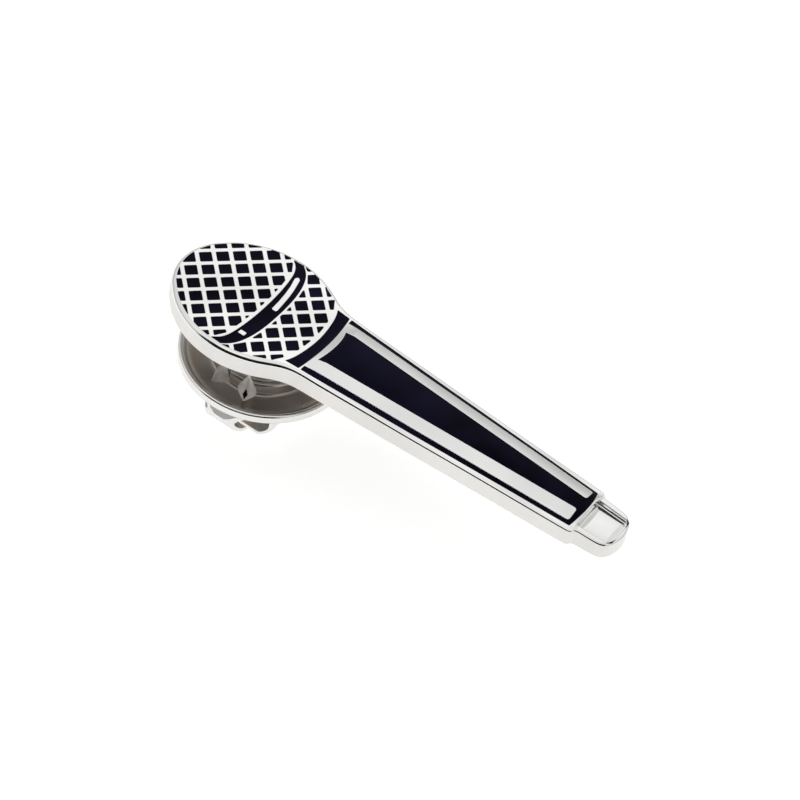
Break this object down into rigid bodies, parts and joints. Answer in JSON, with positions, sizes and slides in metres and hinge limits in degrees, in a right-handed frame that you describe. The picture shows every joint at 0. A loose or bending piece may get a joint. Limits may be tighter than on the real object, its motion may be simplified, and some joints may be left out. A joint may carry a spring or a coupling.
{
  "type": "tie tack pin",
  "caption": "Microphone-shaped metal tie tack with black enamel inlays, a soldered tack post and a butterfly clutch with squeeze wings.",
  "frame": {"origin": "where the tack post's axis meets the flat back of the pin", "axes": "+Z out of the back through the decorated face, +X along the pin from the ball of the microphone to its plug, +Y across the pin"},
  "size_m": [0.0353, 0.0118, 0.0101],
  "materials": {
    "bright_nickel": "bright nickel plating over a die-struck blank, satin side walls",
    "black_enamel": "glossy near-black enamel filled just below the metal lines",
    "solder": "dull soft solder under nickel",
    "post_nickel": "nickel plated wire",
    "clutch_nickel": "bright nickel plated stamped sheet",
    "wing_nickel": "bright nickel plated spring strip",
    "spring_brass": "bare spring brass strip"
  },
  "bodies": {
    "pin": {"pin_body": "bright_nickel", "enamel_grille_upper": "black_enamel", "enamel_grille_lower": "black_enamel", "enamel_mid_band": "black_enamel", "enamel_collar_band": "black_enamel", "enamel_handle": "black_enamel", "solder_joint": "solder", "tack_post": "post_nickel"},
    "clutch_core": {"clutch_eyelet": "clutch_nickel"},
    "clutch": {"clutch_dish": "clutch_nickel", "clutch_housing": "clutch_nickel", "wing_spring": "spring_brass"},
    "wing_near": {"clutch_wing_near": "wing_nickel"},
    "wing_far": {"clutch_wing_far": "wing_nickel"}
  },
  "joints": [
    {"name": "clutch_slide", "type": "slide", "parent": "pin", "child": "clutch_core", "axis": [0, 0, 1], "range_m": [-0.0074, 0.0012]},
    {"name": "clutch_spin", "type": "hinge", "parent": "clutch_core", "child": "clutch", "pos_m": [0, 0, -0.003], "axis": [0, 0, 1], "continuous": true},
    {"name": "wing_near_squeeze", "type": "slide", "parent": "clutch", "child": "wing_near", "axis": [0, 1, 0], "range_m": [0, 0.0006], "stiffness_N_per_m": 400, "springref_m": -0.0006, "deforming": ["wing_spring"]},
    {"name": "wing_far_squeeze", "type": "slide", "parent": "clutch", "child": "wing_far", "axis": [0, -1, 0], "range_m": [0, 0.0006], "stiffness_N_per_m": 400, "springref_m": -0.0006, "deforming": ["wing_spring"]}
  ],
  "couplings": [
    {"joint": "wing_far_squeeze", "follows": "wing_near_squeeze", "ratio": 1}
  ]
}
